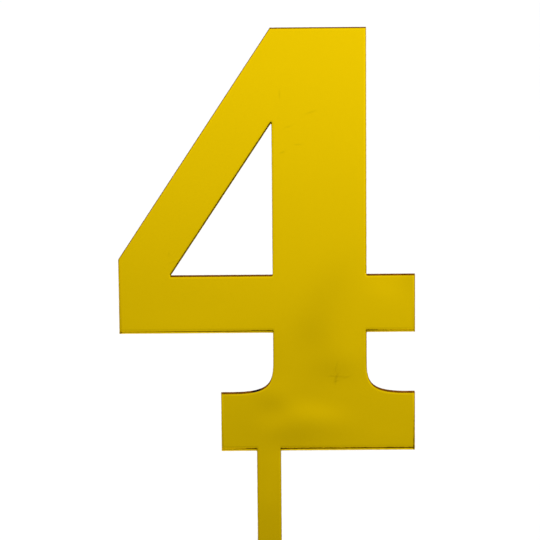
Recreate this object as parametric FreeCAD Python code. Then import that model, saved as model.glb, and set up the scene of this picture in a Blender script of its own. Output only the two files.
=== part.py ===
"""Number four cake topper, laser-cut from one sheet of gold mirror acrylic.

The sheet is a laminate of three layers that share one outline: clear tinted acrylic at
the front, a reflecting metal film behind it and a protective paint at the back. The
numeral and the stem that is pushed into the cake are cut in one piece.

Frame, in millimetres: the origin is on the stem's centreline, level with the underside
of the numeral's foot and halfway through the laminate. +X is to the reader's right, +Y
runs from the mirror face to the back and +Z is up.
"""
import FreeCAD, Part
import math
import os

# Overall
numeral_height = 100.0
sheet_thickness = 2.0
film_thickness = 0.05
coat_thickness = 0.10

# Column: the upright stroke, whose top is the flat top of the numeral
column_width = 21.9

# Foot: the slab under the column, with curved brackets in the corners above it
foot_height = 13.8
foot_left_reach = 12.3
foot_right_reach = 11.3
bracket_height = 8.0
bracket_reach = 9.5
bracket_side_handle = 2.3
bracket_foot_handle = 0.5
bracket_least_flat = 1.0

# Crossbar: runs out to the left and right of the column, a notch above the foot
notch_height = 14.7
crossbar_height = 13.5
crossbar_left_reach = 35.9
crossbar_right_reach = 11.3
left_end_height = 17.5

# Diagonal: an even stroke from the crossbar's left end up to the flat top, which starts a
# little to the left of the column. What it, the column and the crossbar enclose is the
# counter, a triangular window.
diagonal_width = 12.2
top_lead = 0.2

# Stem: enters the foot's underside, inset from the foot's left end
stem_width = 5.7
stem_length = 80.0
stem_inset = 8.3
stem_taper = 14.0
stem_tip_width = 1.2

# Radius that the cutting beam leaves in every inside corner
beam_radius = 0.15

# Places along X
foot_left = -stem_width / 2 - stem_inset
column_left = foot_left + foot_left_reach
column_right = column_left + column_width
foot_right = column_right + foot_right_reach
crossbar_left = column_left - crossbar_left_reach
crossbar_right = column_right + crossbar_right_reach
top_left = column_left - top_lead

# Heights
crossbar_bottom = foot_height + notch_height
crossbar_top = crossbar_bottom + crossbar_height
left_end_top = crossbar_bottom + left_end_height
bracket_top = foot_height + bracket_height
stem_shoulder = stem_taper - stem_length

# Counter: its long side runs parallel to the diagonal's outer edge
diagonal_rise = numeral_height - left_end_top
diagonal_run = top_left - crossbar_left
diagonal_slant = math.hypot(diagonal_run, diagonal_rise)
outer_edge_left = crossbar_left - (left_end_top - crossbar_top) * diagonal_run / diagonal_rise
counter_left = outer_edge_left + diagonal_width * diagonal_slant / diagonal_rise
counter_rise = (column_left - counter_left) * diagonal_rise / diagonal_run
counter_top = crossbar_top + counter_rise

# How far each bracket runs out, leaving a flat on the end of a short foot
left_bracket_reach = min(bracket_reach, foot_left_reach - bracket_least_flat)
right_bracket_reach = min(bracket_reach, foot_right_reach - bracket_least_flat)

# Depths through the laminate
total_thickness = sheet_thickness + film_thickness + coat_thickness
front_face = -total_thickness / 2
mirror_plane = front_face + sheet_thickness
paint_plane = mirror_plane + film_thickness


def point(x, z, y=0.0):
    return FreeCAD.Vector(x, y, z)


def straight_run(places):
    """Edges that join the places in order."""
    return [Part.LineSegment(point(*a), point(*b)).toShape() for a, b in zip(places, places[1:])]


def bracket(corner_x, side, reach):
    """Curve from the column's flank down to the foot's top; side is -1 left or 1 right."""
    curve = Part.BezierCurve()
    curve.setPoles(
        [
            point(corner_x, bracket_top),
            point(corner_x, foot_height + bracket_side_handle),
            point(corner_x + side * bracket_foot_handle, foot_height),
            point(corner_x + side * reach, foot_height),
        ]
    )
    return curve.toShape()


def outer_outline():
    """Closed wire round the numeral and its stem."""
    right_side = straight_run(
        [
            (top_left, numeral_height),
            (column_right, numeral_height),
            (column_right, crossbar_top),
            (crossbar_right, crossbar_top),
            (crossbar_right, crossbar_bottom),
            (column_right, crossbar_bottom),
            (column_right, bracket_top),
        ]
    )
    underside = straight_run(
        [
            (column_right + right_bracket_reach, foot_height),
            (foot_right, foot_height),
            (foot_right, 0.0),
            (stem_width / 2, 0.0),
            (stem_width / 2, stem_shoulder),
            (stem_tip_width / 2, -stem_length),
            (-stem_tip_width / 2, -stem_length),
            (-stem_width / 2, stem_shoulder),
            (-stem_width / 2, 0.0),
            (foot_left, 0.0),
            (foot_left, foot_height),
            (column_left - left_bracket_reach, foot_height),
        ]
    )
    left_side = straight_run(
        [
            (column_left, bracket_top),
            (column_left, crossbar_bottom),
            (crossbar_left, crossbar_bottom),
            (crossbar_left, left_end_top),
            (top_left, numeral_height),
        ]
    )
    brackets = [
        bracket(column_right, 1, right_bracket_reach),
        bracket(column_left, -1, left_bracket_reach),
    ]
    return Part.Wire(Part.sortEdges(right_side + underside + left_side + brackets)[0])


def counter_outline():
    """Closed wire round the triangular window."""
    return Part.Wire(
        straight_run(
            [
                (counter_left, crossbar_top),
                (column_left, crossbar_top),
                (column_left, counter_top),
                (counter_left, crossbar_top),
            ]
        )
    )


# Inside corners that the beam leaves rounded
inside_corners = [
    (column_right, crossbar_top),
    (column_right, crossbar_bottom),
    (column_left, crossbar_bottom),
    (stem_width / 2, 0.0),
    (-stem_width / 2, 0.0),
    (counter_left, crossbar_top),
    (column_left, crossbar_top),
    (column_left, counter_top),
]


def corner_edges(solid):
    """The solid's edges that run through the sheet at the inside corners."""
    found = []
    for edge in solid.Edges:
        start = edge.Vertexes[0].Point
        end = edge.Vertexes[-1].Point
        through_sheet = abs(start.x - end.x) < 1e-6 and abs(start.z - end.z) < 1e-6
        at_corner = any(abs(start.x - x) < 1e-6 and abs(start.z - z) < 1e-6 for x, z in inside_corners)
        if through_sheet and at_corner:
            found.append(edge)
    return found


def layer(start, thickness):
    """One layer of the laminate: the outline less the counter, from start backwards."""
    numeral = Part.Face(outer_outline()).extrude(FreeCAD.Vector(0, thickness, 0))
    window = Part.Face(counter_outline()).extrude(FreeCAD.Vector(0, thickness, 0))
    solid = numeral.cut(window).Solids[0]
    solid = solid.makeFillet(beam_radius, corner_edges(solid))
    solid.translate(FreeCAD.Vector(0, start, 0))
    return solid


nodes = {
    "acrylic_numeral": layer(front_face, sheet_thickness),
    "mirror_film": layer(mirror_plane, film_thickness),
    "back_coating": layer(paint_plane, coat_thickness),
}

os.makedirs("parts", exist_ok=True)
for name, shape in nodes.items():
    shape.exportStep(f"parts/{name}.step")
    box = shape.BoundBox
    print(f"{name}: {box.XLength:.2f} x {box.YLength:.2f} x {box.ZLength:.2f} mm, {shape.Volume:.1f} mm3")
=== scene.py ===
"""Looks of the number four cake topper: a laser-cut laminate of tinted acrylic, mirror
film and back paint, with its studio. Every length is in metres unless a name says mm."""
import math
import random

import bmesh
import bpy
from mathutils import Matrix, Vector
from mathutils.bvhtree import BVHTree


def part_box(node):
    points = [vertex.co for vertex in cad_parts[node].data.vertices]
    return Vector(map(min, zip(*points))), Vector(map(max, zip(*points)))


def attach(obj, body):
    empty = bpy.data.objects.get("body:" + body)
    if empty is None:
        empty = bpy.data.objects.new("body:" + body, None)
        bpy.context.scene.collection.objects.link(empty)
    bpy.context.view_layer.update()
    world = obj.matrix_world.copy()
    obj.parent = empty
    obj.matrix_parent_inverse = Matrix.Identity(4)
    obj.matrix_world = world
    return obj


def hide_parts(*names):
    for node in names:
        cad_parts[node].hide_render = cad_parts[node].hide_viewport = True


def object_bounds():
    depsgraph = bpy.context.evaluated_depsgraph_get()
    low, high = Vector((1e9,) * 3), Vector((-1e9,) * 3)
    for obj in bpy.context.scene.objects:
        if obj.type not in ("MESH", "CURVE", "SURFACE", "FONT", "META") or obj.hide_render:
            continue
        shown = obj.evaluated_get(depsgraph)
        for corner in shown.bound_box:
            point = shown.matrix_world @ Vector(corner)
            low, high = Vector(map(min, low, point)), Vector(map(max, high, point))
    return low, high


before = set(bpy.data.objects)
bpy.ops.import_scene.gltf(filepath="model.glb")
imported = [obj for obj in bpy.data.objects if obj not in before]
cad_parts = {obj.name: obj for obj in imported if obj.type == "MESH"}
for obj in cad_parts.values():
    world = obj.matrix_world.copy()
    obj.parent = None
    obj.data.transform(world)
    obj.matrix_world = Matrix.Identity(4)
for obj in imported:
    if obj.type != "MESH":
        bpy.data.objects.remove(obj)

bl_info = {
    "name": "Number Four Cake Topper",
    "version": (1, 0, 0),
    "blender": (4, 5, 0),
    "location": "3D View > Sidebar > Topper",
    "description": "Builds a laser-cut mirror acrylic cake topper layer by layer, and its studio",
    "category": "Object",
}

MM = 0.001
CAD_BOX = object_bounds()
ACRYLIC_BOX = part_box("acrylic_numeral")
FILM_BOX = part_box("mirror_film")
PAINT_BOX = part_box("back_coating")
EDGE_ATTRIBUTE = "from_edge"
WALL_ATTRIBUTE = "cut_wall"
DOWN_ATTRIBUTE = "cut_faces_down"

# Faces whose normal leans further than this towards Y are a layer's front or back
CAP_LEAN = 0.9
GROOVE_SEED = 4
MARK_SEED = 4

# Strips run round the inside of a layer's outline: the acrylic's outermost and innermost,
# with its rim's slope between them, and the film's and the paint's
RIM_STRIP = 0.06 * MM
BORDER_STRIP = 0.2 * MM
BACKING_STRIPS = (0.25 * MM, 0.3 * MM)
PAINT_ARRIS = 0.03 * MM

ACRYLIC_INDEX = 1.49
ACRYLIC_SHEEN = (1.0, 0.84, 0.0)
SCORCH_COLOUR = (0.006, 0.006, 0.012)

# Reflectance of the film's dullest and brightest places, where the painted reflection patches and the
# handling marks change it, as shares of the mirror colour
FILM_DULL = 0.7
FILM_BRIGHT = 1.07

# Soft dents in the film: middle X and Z, reach along and across in mm, lean from +X in
# degrees and the slope at the middle in degrees
DENTS = (
    (15.0, 19.0, 6.0, 5.0, 0.0, 0.4),
    (5.0, 3.0, 6.0, 5.0, 0.0, 0.4),
    (12.0, 9.0, 7.0, 4.0, -10.0, -0.4),
    (1.0, 11.0, 4.0, 4.0, 0.0, 0.4),
)

# Painted reflection: patches where the film's reflectance is made darker or lighter to stand in for darker
# and lighter things reflected in the mirror: the same measures and the change in reflectance
PAINTED_REFLECTIONS = (
    (13.0, 36.0, 11.0, 5.0, 60.0, -0.06),
    (11.0, 27.0, 5.0, 5.0, 0.0, -0.08),
    (34.0, 41.0, 3.0, 4.0, 0.0, -0.06),
    (27.0, 39.0, 5.0, 3.0, -25.0, 0.05),
    (0.0, -10.0, 3.0, 4.0, 0.0, 0.05),
    (-5.0, 6.0, 6.0, 7.0, 0.0, -0.03),
    (28.0, 4.0, 6.0, 3.0, 0.0, 0.03),
    (-22.0, 31.0, 14.0, 4.0, 0.0, 0.03),
    (1.0, 22.0, 4.0, 9.0, 0.0, -0.03),
    (15.0, 24.0, 4.0, 3.0, 0.0, -0.04),
)

# Groups of hairline handling marks: middle X and Z, reach each way in mm, and how many
MARK_GROUPS = (
    (17.0, 18.0, 2.0, 7),
    (-22.0, 46.0, 2.0, 3),
    (10.0, 78.0, 8.0, 5),
)

MARK_LENGTHS = (0.4, 1.5)
MARK_WIDTH = 0.2
MARK_LEANS = (0.0, 20.0, 75.0, 90.0)
MARK_CHANGES = (-0.1, -0.08, -0.08, 0.06)

# Stretch of the left bracket that is scorched nearly black: a patch's measures alone
SCORCH = (-3.0, 15.0, 2.0, 1.0, 15.0)

# What the mirror shows of the room, as brightness with 1 for white. Each pair is where a
# change starts and ends, in the direction's z for level, steep and overhead and in its y for
# front; the side limit is in its x.
ROOM_LOW = 0.44
ROOM_LEVEL_GAIN = 0.725
ROOM_LEVEL = (-0.36, -0.06)
ROOM_STEEP_GAIN = 0.25
ROOM_STEEP = (-0.30, -0.48)
ROOM_SIDE_LIMIT = 0.15
ROOM_BEHIND = 0.015
ROOM_OVERHEAD = (0.4, 0.8)
ROOM_FRONT = (0.2, -0.2)
SEEN_WHITE = 1.05
SPREAD_WHITE = 0.95

SOFTBOX_PLACE = (-0.5, -0.5, 0.9)
SOFTBOX_SIZE = 0.7
SOFTBOX_POWER = 0.6
SUN_PLACE = (0.5, 0.8, 1.0)
SUN_SPREAD = 30.0
SUN_STRENGTH = 0.8


def hairlines():
    """Patches for the handling marks, scattered in their groups."""
    draw = random.Random(MARK_SEED)
    marks = []
    for x, z, reach, count in MARK_GROUPS:
        for _ in range(count):
            marks.append((
                x + reach * draw.uniform(-1.0, 1.0), z + reach * draw.uniform(-1.0, 1.0),
                draw.uniform(*MARK_LENGTHS), MARK_WIDTH, draw.choice(MARK_LEANS),
                draw.choice(MARK_CHANGES)))
    return marks


# ---------------------------------------------------------------- settings

class TopperCutSettings(bpy.types.PropertyGroup):
    """How the laser leaves the outline."""

    groove_spacing: bpy.props.FloatProperty(
        name="Groove spacing", description="Distance between the laser's grooves along the cut",
        default=0.45 * MM, min=0.1 * MM, subtype="DISTANCE", unit="LENGTH")
    groove_depth: bpy.props.FloatProperty(
        name="Groove depth", description="Deepest groove across the cut wall",
        default=0.018 * MM, min=0.0, subtype="DISTANCE", unit="LENGTH")
    lip_rise: bpy.props.FloatProperty(
        name="Lip rise", description="How far the melted rim beside the cut stands above the face",
        default=0.036 * MM, min=0.0, subtype="DISTANCE", unit="LENGTH")
    lip_width: bpy.props.FloatProperty(
        name="Lip width", description="Width of the slope from the rim down to the face",
        default=0.34 * MM, min=0.0, subtype="DISTANCE", unit="LENGTH")
    arris: bpy.props.FloatProperty(
        name="Arris", description="Width of the rounding where a face meets the cut wall",
        default=0.02 * MM, min=0.0, subtype="DISTANCE", unit="LENGTH")
    burn_back: bpy.props.FloatProperty(
        name="Burn back", description="How far film and paint shrink back from the cut",
        default=0.03 * MM, min=0.0, subtype="DISTANCE", unit="LENGTH")
    burnt_margin: bpy.props.FloatProperty(
        name="Burnt margin", description="Width of the darkened film beside the cut",
        default=0.05 * MM, min=0.0, subtype="DISTANCE", unit="LENGTH")
    # Painted shade: a wider dark band of film above cuts that face down, beyond the real burnt margin
    under_cut_shade_margin: bpy.props.FloatProperty(
        name="Underside margin", description="Extra width of darkened film above a cut that faces down",
        default=0.33 * MM, min=0.0, subtype="DISTANCE", unit="LENGTH")
    soot_margin: bpy.props.FloatProperty(
        name="Soot margin", description="Width of the soot on the paint beside the cut",
        default=0.54 * MM, min=0.0, subtype="DISTANCE", unit="LENGTH")
    bond_overlap: bpy.props.FloatProperty(
        name="Bond overlap", description="How far each layer is sunk into the one in front of it",
        default=0.03 * MM, min=0.0, subtype="DISTANCE", unit="LENGTH")


class TopperFinishSettings(bpy.types.PropertyGroup):
    """Colours of the three layers."""

    tint: bpy.props.FloatVectorProperty(
        name="Tint", description="Colour that the acrylic's faces give to light crossing them",
        default=(0.95, 0.78, 0.03), size=3, min=0.0, max=1.0, subtype="COLOR")
    depth_tint: bpy.props.FloatVectorProperty(
        name="Depth tint", description="Colour left of white light after one absorption length",
        default=(0.968, 0.915, 0.03), size=3, min=0.0, max=1.0, subtype="COLOR")
    absorption: bpy.props.FloatProperty(
        name="Absorption", description="Absorption lengths in a metre of acrylic",
        default=1000.0, min=0.0)
    mirror: bpy.props.FloatVectorProperty(
        name="Mirror", description="Reflectance of the metal film",
        default=(0.93, 0.93, 0.92), size=3, min=0.0, max=1.0, subtype="COLOR")
    cut_face: bpy.props.FloatVectorProperty(
        name="Cut face", description="Colour of the frosted amber wall that the laser leaves",
        default=(0.20, 0.062, 0.003), size=3, min=0.0, max=1.0, subtype="COLOR")
    glow: bpy.props.FloatVectorProperty(
        name="Glow", description="Colour of light that comes through the frosted wall",
        default=(0.95, 0.74, 0.05), size=3, min=0.0, max=1.0, subtype="COLOR")
    # The scorch colour also paints the shade band above cuts that face down
    burn_and_shade: bpy.props.FloatVectorProperty(
        name="Burn", description="Colour of the scorched film beside the cut",
        default=(0.07, 0.022, 0.002), size=3, min=0.0, max=1.0, subtype="COLOR")
    paint: bpy.props.FloatVectorProperty(
        name="Back paint", description="Colour of the protective paint",
        default=(0.36, 0.36, 0.37), size=3, min=0.0, max=1.0, subtype="COLOR")
    soot: bpy.props.FloatVectorProperty(
        name="Soot", description="Colour of the soot beside the cut",
        default=(0.09, 0.065, 0.045), size=3, min=0.0, max=1.0, subtype="COLOR")


class TopperStageSettings(bpy.types.PropertyGroup):
    """Camera and floor."""

    distance: bpy.props.FloatProperty(
        name="Camera distance", description="From the aim point to the camera",
        default=0.7448, min=0.05, subtype="DISTANCE", unit="LENGTH")
    lens: bpy.props.FloatProperty(
        name="Focal length", description="Camera focal length in millimetres on a 36 mm sensor",
        default=213.33, min=10.0)
    azimuth: bpy.props.FloatProperty(
        name="Azimuth", description="Turn of the camera about the vertical",
        default=math.radians(-0.145), subtype="ANGLE", unit="ROTATION")
    elevation: bpy.props.FloatProperty(
        name="Elevation", description="How far the camera looks down",
        default=math.radians(11.883), subtype="ANGLE", unit="ROTATION")
    roll: bpy.props.FloatProperty(
        name="Roll", description="Turn of the camera about its own axis",
        default=math.radians(-0.475), subtype="ANGLE", unit="ROTATION")
    aim_height: bpy.props.FloatProperty(
        name="Aim height", description="Height that the camera looks at, from the foot's underside",
        default=43.5 * MM, subtype="DISTANCE", unit="LENGTH")
    aim_side: bpy.props.FloatProperty(
        name="Aim side", description="Place across the numeral that the camera looks at",
        default=0.57 * MM, subtype="DISTANCE", unit="LENGTH")
    floor_colour: bpy.props.FloatVectorProperty(
        name="Floor", description="Colour of the floor",
        default=(0.9, 0.9, 0.9), size=3, min=0.0, max=1.0, subtype="COLOR")
    floor_radius: bpy.props.FloatProperty(
        name="Floor radius", description="Radius of the round floor",
        default=6.0, min=0.5, subtype="DISTANCE", unit="LENGTH")


# ---------------------------------------------------------------- shader maths

class Value:
    """An output socket. Arithmetic on it adds Math nodes to its tree."""

    def __init__(self, graph, socket):
        self.graph = graph
        self.socket = socket

    def math(self, operation, *operands):
        inputs = dict(enumerate(operands))
        return self.graph.make("ShaderNodeMath", {"operation": operation}, inputs)

    def __add__(self, other):
        return self.math("ADD", self, other)

    def __radd__(self, other):
        return self.math("ADD", other, self)

    def __sub__(self, other):
        return self.math("SUBTRACT", self, other)

    def __rsub__(self, other):
        return self.math("SUBTRACT", other, self)

    def __mul__(self, other):
        return self.math("MULTIPLY", self, other)

    def __rmul__(self, other):
        return self.math("MULTIPLY", other, self)

    def __truediv__(self, other):
        return self.math("DIVIDE", self, other)

    def __rtruediv__(self, other):
        return self.math("DIVIDE", other, self)

    def at_most(self, other):
        return self.math("MINIMUM", self, other)

    def at_least(self, other):
        return self.math("MAXIMUM", self, other)

    def size(self):
        return self.math("ABSOLUTE", self)

    def exponent(self):
        return self.math("EXPONENT", self)

    def rise(self, start, end):
        """0 at start, 1 at end and eased between; start may be the larger."""
        low, high = min(start, end), max(start, end)
        eased = self.graph.make(
            "ShaderNodeMapRange", {"interpolation_type": "SMOOTHSTEP"},
            {"Value": self, "From Min": low, "From Max": high})
        return eased if start < end else 1 - eased


class Graph:
    """A node tree that nodes are added to."""

    def __init__(self, tree):
        self.tree = tree
        tree.nodes.clear()

    def make(self, kind, settings=None, inputs=None, output=0):
        """Adds a node, sets it, fills or links its sockets and returns one of its outputs."""
        node = self.tree.nodes.new(kind)
        for name, value in (settings or {}).items():
            setattr(node, name, value)
        for name, value in (inputs or {}).items():
            if isinstance(value, Value):
                self.tree.links.new(value.socket, node.inputs[name])
            else:
                node.inputs[name].default_value = value
        return Value(self, node.outputs[output]) if node.outputs else node

    def mix(self, factor, first, second):
        """Colour that goes from first to second as factor goes from 0 to 1."""
        inputs = {0: factor, 6: first, 7: second}
        return self.make("ShaderNodeMix", {"data_type": "RGBA"}, inputs, output=2)

    def places(self):
        return self.make("ShaderNodeTexCoord", output="Object")

    def parts(self, vector):
        """The x, y and z of a vector."""
        split = self.make("ShaderNodeSeparateXYZ", None, {"Vector": vector})
        return [Value(self, socket) for socket in split.socket.node.outputs]

    def noise(self, scale, detail=2.0, roughness=0.5, stretch=(1.0, 1.0, 1.0), shift=(0.0, 0.0, 0.0)):
        """Noise on object coordinates, scale in features to the metre."""
        placed = self.make(
            "ShaderNodeMapping", None, {"Vector": self.places(), "Location": shift, "Scale": stretch})
        inputs = {"Vector": placed, "Scale": scale, "Detail": detail, "Roughness": roughness}
        return self.make("ShaderNodeTexNoise", None, inputs)

    def patch(self, x, z, length, width, lean):
        """A soft oval in the XZ plane, given in mm and degrees: its middle, its reach along and
        across and its lean from +X. Gives the place across it, in widths, and the oval."""
        placed = self.make("ShaderNodeMapping", {"vector_type": "TEXTURE"}, {
            "Vector": self.places(),
            "Location": (x * MM, 0.0, z * MM),
            "Rotation": (0.0, -math.radians(lean), 0.0),
            "Scale": (length * MM, 1.0, width * MM)})
        along, _, across = self.parts(placed)
        return across, (0 - along * along - across * across).exponent()

    def dent(self, x, z, length, width, lean, tilt):
        """Height in mm of a soft dent whose middle slopes by tilt degrees."""
        across, oval = self.patch(x, z, length, width, lean)
        return math.tan(math.radians(tilt)) * width * across * oval

    def attribute(self, name):
        return self.make("ShaderNodeAttribute", {"attribute_name": name}, output="Fac")

    def bump(self, height, depth):
        """Normal of a relief whose height of 1 stands depth metres proud."""
        return self.make("ShaderNodeBump", None, {"Height": height, "Distance": depth})


def colour(rgb, strength=1.0):
    """Opaque colour of rgb, scaled by strength."""
    return (*(strength * part for part in rgb), 1.0)


def new_material(name):
    material = bpy.data.materials.new(name)
    material.use_nodes = True
    return material, Graph(material.node_tree)


def shade_surface(graph, **sockets):
    """Ends a material with one Principled shader, given by its sockets' names."""
    inputs = {name.replace("_", " "): value for name, value in sockets.items()}
    surface = graph.make("ShaderNodeBsdfPrincipled", None, inputs)
    return graph.make("ShaderNodeOutputMaterial", None, {"Surface": surface})


# ---------------------------------------------------------------- materials

def tinted_acrylic(finish):
    """Clear gold acrylic: polished faces, and cut walls that are grooved and part frosted, with painted
    light and shade in how much of each wall lets light through, more where the cut faces down than where
    it faces up.
    """
    material, graph = new_material("tinted_acrylic")
    wall = graph.attribute(WALL_ATTRIBUTE)
    grooves = graph.noise(2600.0, detail=3.0, stretch=(1.0, 0.04, 1.0))
    melt = graph.noise(700.0, detail=3.0, stretch=(1.0, 0.3, 1.0))
    handling = graph.noise(900.0, detail=4.0, roughness=0.7, stretch=(1.0, 1.0, 0.15))
    relief = graph.bump(wall * grooves, 0.02 * MM)
    clear = graph.make("ShaderNodeBsdfPrincipled", None, {
        "Base Color": colour(finish.tint),
        "Roughness": wall * (0.08 + 0.2 * melt) + 0.004 * handling.rise(0.5, 0.8),
        "Transmission Weight": 1.0,
        "IOR": ACRYLIC_INDEX,
        "Specular Tint": colour(ACRYLIC_SHEEN),
        "Normal": relief})
    amber = graph.mix(
        melt.rise(0.3, 0.7), colour(finish.cut_face, 0.7), colour(finish.cut_face))
    scorched = graph.patch(*SCORCH)[1].rise(0.35, 0.6)
    frosted = graph.make("ShaderNodeBsdfPrincipled", None, {
        "Base Color": graph.mix(scorched, amber, colour(SCORCH_COLOUR)),
        "Roughness": 0.35 + 0.2 * melt,
        "Specular IOR Level": 0.0,
        "Normal": relief})
    glow = graph.make("ShaderNodeBsdfTranslucent", None, {"Color": colour(finish.glow)})
    speckle = graph.noise(3200.0, detail=2.0, stretch=(1.0, 0.3, 1.0))
    # Painted light and shade: the share of frosted wall that lets light through follows which way the cut
    # faces, most for walls facing down, less for side walls and least for walls facing up, which stay dark
    # amber; the speckle is random
    down = graph.attribute(DOWN_ATTRIBUTE)
    facing_glow_share = 0.1 + 0.35 * down.size().rise(0.35, 0.1) + 0.62 * down.rise(0.6, 0.95)
    skin = graph.make(
        "ShaderNodeMixShader", None, {
            0: (facing_glow_share + 0.25 * speckle.rise(0.3, 0.7) - 0.05) * (1 - scorched), 1: frosted, 2: glow})
    share = wall * (0.8 + 0.15 * melt.rise(0.35, 0.65)).at_least(scorched)
    surface = graph.make("ShaderNodeMixShader", None, {0: share, 1: clear, 2: skin})
    inside = graph.make(
        "ShaderNodeVolumeAbsorption", None,
        {"Color": colour(finish.depth_tint), "Density": finish.absorption})
    graph.make("ShaderNodeOutputMaterial", None, {"Surface": surface, "Volume": inside})
    return material


def mirror_metal(finish, cut):
    """Bright metal film, gently wavy, with handling marks and painted reflection patches in its
    reflectance, scorched brown beside the cut and with a wider painted shade band above cuts that face
    down.
    """
    material, graph = new_material("mirror_metal")
    edge = graph.attribute(EDGE_ATTRIBUTE)
    ragged = graph.noise(1800.0, detail=3.0)
    reach = cut.burnt_margin / MM
    # Painted shade: above cuts that face down the darkened band reaches further than the burnt margin; the
    # narrow margin all round is real burn
    above = edge - cut.under_cut_shade_margin / MM * graph.attribute(DOWN_ATTRIBUTE).at_least(0.0)
    burnt_and_shaded = (above + 0.25 * (ragged - 0.5)).rise(reach, reach - 0.1)
    relief = 0.02 * graph.noise(28.0, detail=1.0, stretch=(1.0, 0.0, 1.0))
    for dent in DENTS:
        relief = relief + graph.dent(*dent)
    # Painted reflection patches and real handling marks, summed as changes in the film's reflectance
    reflection_patches_and_marks = 0.0
    for *place, change in (*PAINTED_REFLECTIONS, *hairlines()):
        reflection_patches_and_marks = reflection_patches_and_marks + change * graph.patch(*place)[1]
    metal = graph.mix(
        (1 + reflection_patches_and_marks - FILM_DULL) / (FILM_BRIGHT - FILM_DULL),
        colour(finish.mirror, FILM_DULL), colour(finish.mirror, FILM_BRIGHT))
    shade_surface(
        graph,
        Base_Color=graph.mix(burnt_and_shaded, metal, colour(finish.burn_and_shade)),
        Metallic=1 - 0.75 * burnt_and_shaded,
        Roughness=0.02 + 0.45 * burnt_and_shaded,
        Normal=graph.bump(relief, MM))
    return material


def back_paint(finish, cut):
    """Satin grey paint: rolled texture, scuffs and soot beside the cut."""
    material, graph = new_material("back_paint")
    edge = graph.attribute(EDGE_ATTRIBUTE)
    peel = graph.noise(1100.0, detail=2.0, stretch=(1.0, 1.0, 0.55))
    cloud = graph.noise(55.0, detail=3.0)
    streak = graph.noise(420.0, detail=3.0, stretch=(1.0, 1.0, 0.05))
    scuffs = graph.noise(160.0, detail=6.0, roughness=0.75, stretch=(0.25, 1.0, 1.6), shift=(0.3, 0, 0.1))
    scuffed = scuffs.rise(0.60, 0.72)
    reach = cut.soot_margin / MM
    sooty = (edge + 0.5 * (cloud - 0.5)).rise(reach, 0.05)
    base = graph.mix(
        cloud.rise(0.3, 0.7), colour(finish.paint, 0.93), colour(finish.paint))
    base = graph.mix(0.5 * streak.rise(0.45, 0.75), base, colour(finish.paint, 1.08))
    base = graph.mix(0.35 * scuffed, base, colour(finish.paint, 1.5))
    base = graph.mix(0.85 * sooty, base, colour(finish.soot))
    base = graph.mix(graph.attribute(WALL_ATTRIBUTE), base, colour(finish.cut_face))
    shade_surface(
        graph,
        Base_Color=base,
        Roughness=0.42 + 0.12 * cloud + 0.15 * scuffed + 0.2 * sooty,
        Normal=graph.bump(peel + 0.4 * streak, 0.025 * MM))
    return material


def studio_floor(stage):
    """Matt white table."""
    material, graph = new_material("studio_floor")
    grain = graph.noise(300.0, detail=2.0)
    shade = graph.mix(grain, colour(stage.floor_colour, 0.985), colour(stage.floor_colour))
    shade_surface(graph, Base_Color=shade, Roughness=0.9, Specular_IOR_Level=0.0)
    return material


# ---------------------------------------------------------------- mesh work

def edit(piece):
    """Opens one piece for editing, with nothing else chosen."""
    bpy.ops.object.select_all(action="DESELECT")
    piece.select_set(True)
    bpy.context.view_layer.objects.active = piece
    bpy.ops.object.mode_set(mode="EDIT")
    bpy.ops.mesh.select_all(action="DESELECT")


def choose(piece, kind, wanted):
    """Selects the faces, edges or verts that are wanted and says how many there are."""
    shape = bmesh.from_edit_mesh(piece.data)
    bpy.ops.mesh.select_mode(type={"faces": "FACE", "edges": "EDGE", "verts": "VERT"}[kind])
    bpy.ops.mesh.select_all(action="DESELECT")
    chosen = [item for item in getattr(shape, kind) if wanted(item)]
    for item in chosen:
        item.select_set(True)
    shape.select_flush_mode()
    bmesh.update_edit_mesh(piece.data)
    return len(chosen)


def is_cap(face):
    return abs(face.normal.y) > CAP_LEAN


def flat_outline(node, name):
    """A new piece with the CAD node's front face alone, merged and freed of its triangles."""
    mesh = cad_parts[node].data.copy()
    mesh.name = name
    mesh.materials.clear()
    piece = bpy.data.objects.new(name, mesh)
    bpy.context.scene.collection.objects.link(piece)
    edit(piece)
    bpy.ops.mesh.customdata_custom_splitnormals_clear()
    bpy.ops.mesh.select_all(action="SELECT")
    bpy.ops.mesh.remove_doubles(threshold=0.001 * MM)
    choose(piece, "faces", lambda face: face.normal.y > -CAP_LEAN)
    bpy.ops.mesh.delete(type="FACE")
    bpy.ops.mesh.select_all(action="SELECT")
    bpy.ops.mesh.dissolve_limited(angle_limit=math.radians(0.2))
    return piece


def ring(strips):
    """Runs strips round the inside of the outline, each with a width and the rise across it
    towards the middle."""
    bpy.ops.mesh.select_mode(type="FACE")
    bpy.ops.mesh.select_all(action="SELECT")
    for width, rise in strips:
        bpy.ops.mesh.inset(thickness=width, depth=rise, use_boundary=True, use_even_offset=True)


def groove(piece, cut, shrink):
    """Divides the outline into grooves and draws each in by shrink and a depth of its own."""
    longest = 1.4 * cut.groove_spacing
    while choose(piece, "edges", lambda edge: edge.is_boundary and edge.calc_length() > longest):
        bpy.ops.mesh.subdivide(number_cuts=1)
    draw = random.Random(GROOVE_SEED)
    shape = bmesh.from_edit_mesh(piece.data)
    moves = []
    for vert in shape.verts:
        sides = [edge for edge in vert.link_edges if edge.is_boundary]
        if len(sides) != 2:
            continue
        inward = []
        for side in sides:
            loop = side.link_loops[0]
            along = loop.link_loop_next.vert.co - loop.vert.co
            inward.append(loop.face.normal.cross(along).normalized())
        way = (inward[0] + inward[1]) / (1 + inward[0].dot(inward[1]))
        straight = inward[0].dot(inward[1]) > 0.999
        depth = cut.groove_depth * draw.random() if straight else 0.0
        moves.append((vert, way * (shrink + depth)))
    for vert, move in moves:
        vert.co += move
    bmesh.update_edit_mesh(piece.data)


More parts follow.
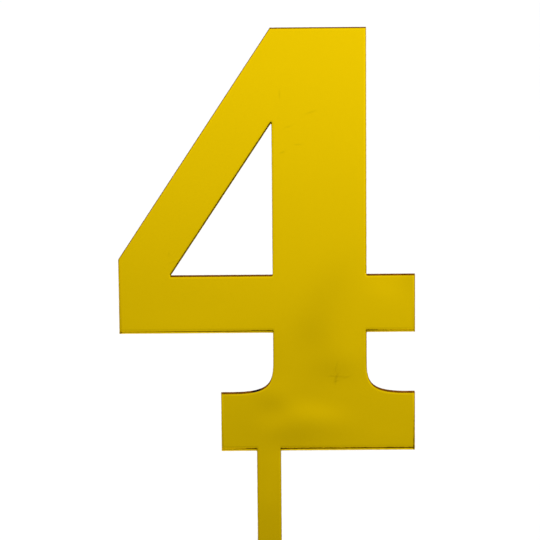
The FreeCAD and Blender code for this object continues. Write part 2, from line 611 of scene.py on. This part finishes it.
def thicken(piece, front, back, arris):
    """Turns the flat outline into a closed layer from front to back with rounded arrises."""
    shape = bmesh.from_edit_mesh(piece.data)
    nearest = min(vert.co.y for vert in shape.verts)
    bpy.ops.mesh.select_all(action="SELECT")
    bpy.ops.transform.translate(value=(0.0, front - nearest, 0.0))
    bpy.ops.mesh.extrude_region_move(TRANSFORM_OT_translate={"value": (0.0, back - front, 0.0)})
    for vert in shape.verts:
        if vert.select:
            vert.co.y = back
    bmesh.update_edit_mesh(piece.data)
    bpy.ops.mesh.select_all(action="SELECT")
    bpy.ops.mesh.normals_make_consistent(inside=False)
    if arris:
        choose(
            piece, "edges",
            lambda edge: len(edge.link_faces) == 2 and len([f for f in edge.link_faces if is_cap(f)]) == 1)
        bpy.ops.mesh.bevel(offset=arris, segments=2, affect="EDGES", clamp_overlap=False)


def measure(piece, node):
    """Stores each point's distance from the nearest cut in mm and how far that cut faces down,
    and which faces are cut wall."""
    mesh = piece.data
    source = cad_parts[node].data
    walls = [list(face.vertices) for face in source.polygons if abs(face.normal.y) < 0.5]
    tree = BVHTree.FromPolygons([vert.co for vert in source.vertices], walls)
    middle = sum(corner.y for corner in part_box(node)) / 2
    distances = mesh.attributes.new(EDGE_ATTRIBUTE, "FLOAT", "POINT")
    downs = mesh.attributes.new(DOWN_ATTRIBUTE, "FLOAT", "POINT")
    for number, vert in enumerate(mesh.vertices):
        _, normal, _, distance = tree.find_nearest(Vector((vert.co.x, middle, vert.co.z)))
        distances.data[number].value = distance / MM
        downs.data[number].value = -normal.z
    wall = mesh.attributes.new(WALL_ATTRIBUTE, "FLOAT", "FACE")
    for face, slot in zip(mesh.polygons, wall.data):
        slot.value = 0.0 if is_cap(face) else 1.0


def finish_layer(piece, node, material):
    """Shades the piece, checks it is closed and hands it to the frame."""
    bpy.ops.object.mode_set(mode="OBJECT")
    shape = bmesh.new()
    shape.from_mesh(piece.data)
    open_edges = len([edge for edge in shape.edges if len(edge.link_faces) != 2])
    volume = shape.calc_volume(signed=True)
    shape.free()
    if open_edges or volume <= 0:
        raise RuntimeError(f"{piece.name} isn't a closed layer: {open_edges} open edges, volume {volume}")
    bpy.ops.object.shade_smooth_by_angle(angle=math.radians(18))
    measure(piece, node)
    piece.data.materials.append(material)
    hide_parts(node)
    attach(piece, "root")


# ---------------------------------------------------------------- operators

class TOPPER_OT_acrylic_sheet(bpy.types.Operator):
    """Tinted acrylic sheet with grooved cut walls"""

    bl_idname = "topper.acrylic_sheet"
    bl_label = "Acrylic sheet"

    def execute(self, context):
        cut = context.scene.topper_cut
        piece = flat_outline("acrylic_numeral", "acrylic_sheet")
        slope, sunk = cut.lip_width / 2, cut.lip_rise / 2
        ring([(RIM_STRIP, 0.0), (slope, -sunk), (slope, -sunk), (BORDER_STRIP, 0.0)])
        groove(piece, cut, 0.0)
        thicken(piece, ACRYLIC_BOX[0].y, ACRYLIC_BOX[1].y, cut.arris)
        finish_layer(piece, "acrylic_numeral", tinted_acrylic(context.scene.topper_finish))
        return {"FINISHED"}


class TOPPER_OT_metal_film(bpy.types.Operator):
    """Mirror film bonded to the back of the acrylic"""

    bl_idname = "topper.metal_film"
    bl_label = "Metal film"

    def execute(self, context):
        cut = context.scene.topper_cut
        piece = flat_outline("mirror_film", "metal_film")
        ring([(width, 0.0) for width in BACKING_STRIPS])
        groove(piece, cut, cut.burn_back)
        thicken(piece, FILM_BOX[0].y - cut.bond_overlap, FILM_BOX[1].y, 0.0)
        finish_layer(piece, "mirror_film", mirror_metal(context.scene.topper_finish, cut))
        return {"FINISHED"}


class TOPPER_OT_paint_coat(bpy.types.Operator):
    """Protective paint over the film"""

    bl_idname = "topper.paint_coat"
    bl_label = "Paint coat"

    def execute(self, context):
        cut = context.scene.topper_cut
        piece = flat_outline("back_coating", "paint_coat")
        ring([(width, 0.0) for width in BACKING_STRIPS])
        groove(piece, cut, cut.burn_back / 2)
        thicken(piece, PAINT_BOX[0].y - cut.bond_overlap, PAINT_BOX[1].y, PAINT_ARRIS)
        finish_layer(piece, "back_coating", back_paint(context.scene.topper_finish, cut))
        return {"FINISHED"}


class TOPPER_OT_studio(bpy.types.Operator):
    """White floor, surroundings that the mirror shows, soft light and camera"""

    bl_idname = "topper.studio"
    bl_label = "Studio"

    def execute(self, context):
        stage = context.scene.topper_stage
        self.lay_floor(stage)
        self.surround(context.scene)
        self.hang_lamp(
            "softbox_high", "AREA", SOFTBOX_PLACE,
            shape="SQUARE", size=SOFTBOX_SIZE, energy=SOFTBOX_POWER)
        self.hang_lamp(
            "sun_rear", "SUN", SUN_PLACE, angle=math.radians(SUN_SPREAD), energy=SUN_STRENGTH)
        self.set_camera(context.scene, stage)
        context.scene.view_settings.view_transform = "Standard"
        return {"FINISHED"}

    def lay_floor(self, stage):
        bpy.ops.object.select_all(action="DESELECT")
        height = CAD_BOX[0][2]
        bpy.ops.mesh.primitive_circle_add(
            vertices=96, radius=stage.floor_radius, fill_type="NGON", location=(0.0, 0.0, height))
        floor = bpy.context.active_object
        floor.name = "studio_floor"
        bpy.ops.object.transform_apply(location=True, rotation=False, scale=False)
        floor.data.materials.append(studio_floor(stage))
        floor.visible_glossy = False
        floor.visible_transmission = False

    def surround(self, scene):
        """A white surround, in a room whose reflection darkens below the horizon and behind."""
        world = bpy.data.worlds.new("studio_surround")
        scene.world = world
        world.use_nodes = True
        graph = Graph(world.node_tree)
        direction = graph.make("ShaderNodeTexCoord", output="Generated")
        x, y, z = graph.parts(direction)
        fall = ROOM_LOW + ROOM_LEVEL_GAIN * z.rise(*ROOM_LEVEL) + ROOM_STEEP_GAIN * z.rise(*ROOM_STEEP)
        side = 1 + x.at_most(ROOM_SIDE_LIMIT).at_least(-ROOM_SIDE_LIMIT)
        ahead = y.rise(*ROOM_FRONT)
        overhead = z.rise(*ROOM_OVERHEAD)
        room = ahead * fall * side + (1 - ahead) * (ROOM_BEHIND + overhead)
        seen = graph.make("ShaderNodeLightPath", output="Is Camera Ray")
        spread = graph.make("ShaderNodeLightPath", output="Is Diffuse Ray")
        white = seen.at_least(spread)
        strength = SEEN_WHITE * seen + SPREAD_WHITE * spread + (1 - white) * room
        lit = graph.make(
            "ShaderNodeBackground", None, {"Color": colour((1.0, 1.0, 1.0)), "Strength": strength})
        graph.make("ShaderNodeOutputWorld", None, {"Surface": lit})

    def hang_lamp(self, name, kind, place, **settings):
        """Adds a lamp at place that shines on the origin."""
        lamp = bpy.data.lights.new(name, kind)
        for key, value in settings.items():
            setattr(lamp, key, value)
        light = bpy.data.objects.new(name, lamp)
        bpy.context.scene.collection.objects.link(light)
        light.location = place
        light.rotation_euler = (-Vector(place)).to_track_quat("-Z", "Y").to_euler()

    def set_camera(self, scene, stage):
        turn, down, roll = stage.azimuth, stage.elevation, stage.roll
        ahead = Vector((math.sin(turn) * math.cos(down), math.cos(turn) * math.cos(down), -math.sin(down)))
        right = Vector((math.cos(turn), -math.sin(turn), 0.0))
        up = right.cross(ahead)
        right, up = (
            math.cos(roll) * right + math.sin(roll) * up,
            math.cos(roll) * up - math.sin(roll) * right)
        aim = Vector((stage.aim_side, CAD_BOX[0][1], stage.aim_height))
        data = bpy.data.cameras.new("camera")
        data.lens = stage.lens
        data.sensor_width = 36.0
        data.clip_end = 50.0
        camera = bpy.data.objects.new("camera", data)
        scene.collection.objects.link(camera)
        turned = Matrix((right, up, -ahead)).transposed().to_4x4()
        camera.matrix_world = Matrix.Translation(aim - stage.distance * ahead) @ turned
        scene.camera = camera


class TOPPER_PT_parts(bpy.types.Panel):
    """Lists the topper's layers and its studio"""

    bl_idname = "TOPPER_PT_parts"
    bl_label = "Cake Topper"
    bl_space_type = "VIEW_3D"
    bl_region_type = "UI"
    bl_category = "Topper"

    def draw(self, context):
        for operator in OPERATORS:
            self.layout.operator(operator.bl_idname)
        for name in ("topper_cut", "topper_finish", "topper_stage"):
            settings = getattr(context.scene, name)
            column = self.layout.column(align=True)
            for key in settings.__annotations__:
                column.prop(settings, key)


OPERATORS = (
    TOPPER_OT_acrylic_sheet,
    TOPPER_OT_metal_film,
    TOPPER_OT_paint_coat,
    TOPPER_OT_studio,
)
CLASSES = (TopperCutSettings, TopperFinishSettings, TopperStageSettings, *OPERATORS, TOPPER_PT_parts)


def register():
    for item in CLASSES:
        bpy.utils.register_class(item)
    bpy.types.Scene.topper_cut = bpy.props.PointerProperty(type=TopperCutSettings)
    bpy.types.Scene.topper_finish = bpy.props.PointerProperty(type=TopperFinishSettings)
    bpy.types.Scene.topper_stage = bpy.props.PointerProperty(type=TopperStageSettings)


def unregister():
    del bpy.types.Scene.topper_stage
    del bpy.types.Scene.topper_finish
    del bpy.types.Scene.topper_cut
    for item in reversed(CLASSES):
        bpy.utils.unregister_class(item)


def main():
    register()
    bpy.ops.topper.acrylic_sheet()
    bpy.ops.topper.metal_film()
    bpy.ops.topper.paint_coat()
    bpy.ops.topper.studio()


if __name__ == "__main__":
    main()
